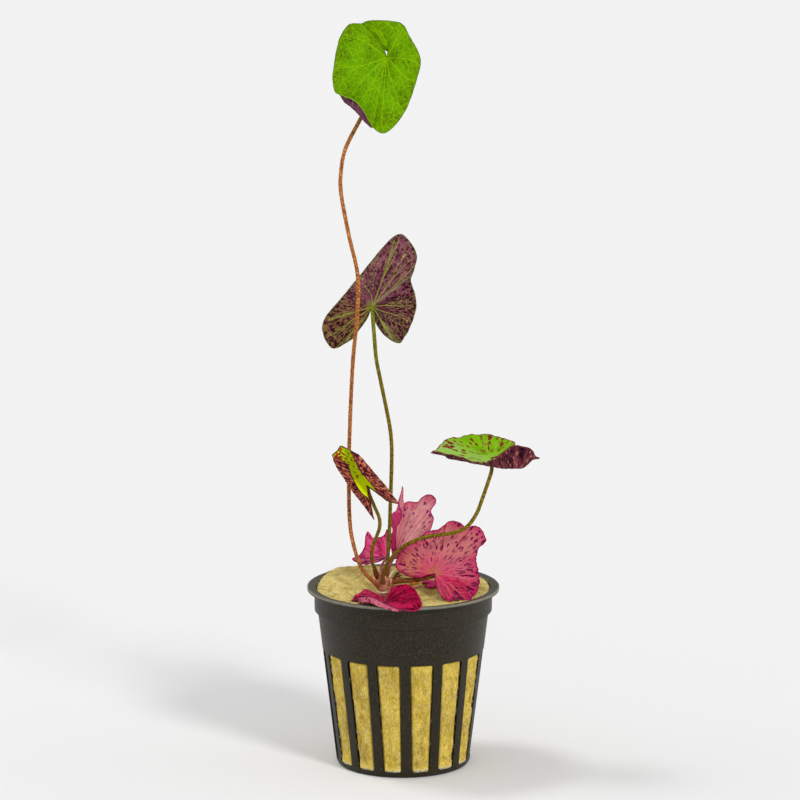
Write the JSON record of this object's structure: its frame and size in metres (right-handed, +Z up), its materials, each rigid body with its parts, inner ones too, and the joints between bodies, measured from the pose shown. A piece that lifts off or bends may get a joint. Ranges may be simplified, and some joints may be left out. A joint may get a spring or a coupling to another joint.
{
  "type": "potted red tiger lotus",
  "caption": "Aquarium lily with spotted green, purple and pink notched leaves on thin curved stalks, rooted in a rockwool plug in a slotted plastic pot.",
  "frame": {"origin": "centre of the pot's flat base, on the surface that it stands on", "axes": "+Z up; -Y is the front, towards the viewer; +X is the side of the spotted side leaf"},
  "size_m": [0.0662, 0.0577, 0.2131],
  "materials": {
    "pot_plastic": "matte",
    "rockwool": "fibrous",
    "leaf_green": "satin",
    "leaf_purple": "satin",
    "leaf_young": "satin",
    "leaf_pink": "satin",
    "stalk_olive": "satin",
    "stalk_amber": "satin",
    "stalk_pink": "satin",
    "crown_tissue": "satin",
    "pale_tissue": "satin",
    "dried_tissue": "matte"
  },
  "bodies": {
    "root": {"pot": "pot_plastic", "rockwool": "rockwool", "crown": "crown_tissue", "crown_sheath": "pale_tissue", "tall_stalk": "stalk_amber", "middle_stalk": "stalk_olive", "rolled_stalk": "stalk_olive", "side_stalk": "stalk_olive", "pink_stalk_right": "stalk_pink", "pink_stalk_rear": "stalk_pink", "pink_stalk_left": "stalk_pink", "pink_stalk_front": "stalk_pink", "pink_stalk_low": "stalk_pink", "old_stalk": "stalk_amber", "tall_leaf": "leaf_green", "middle_leaf": "leaf_purple", "rolled_leaf": "leaf_young", "side_leaf": "leaf_green", "pink_leaf_right": "leaf_pink", "pink_leaf_rear": "leaf_pink", "pink_leaf_left": "leaf_pink", "pink_leaf_front": "leaf_pink", "pink_leaf_low": "leaf_pink", "young_shoots": "pale_tissue", "dried_scrap": "dried_tissue"}
  },
  "joints": []
}
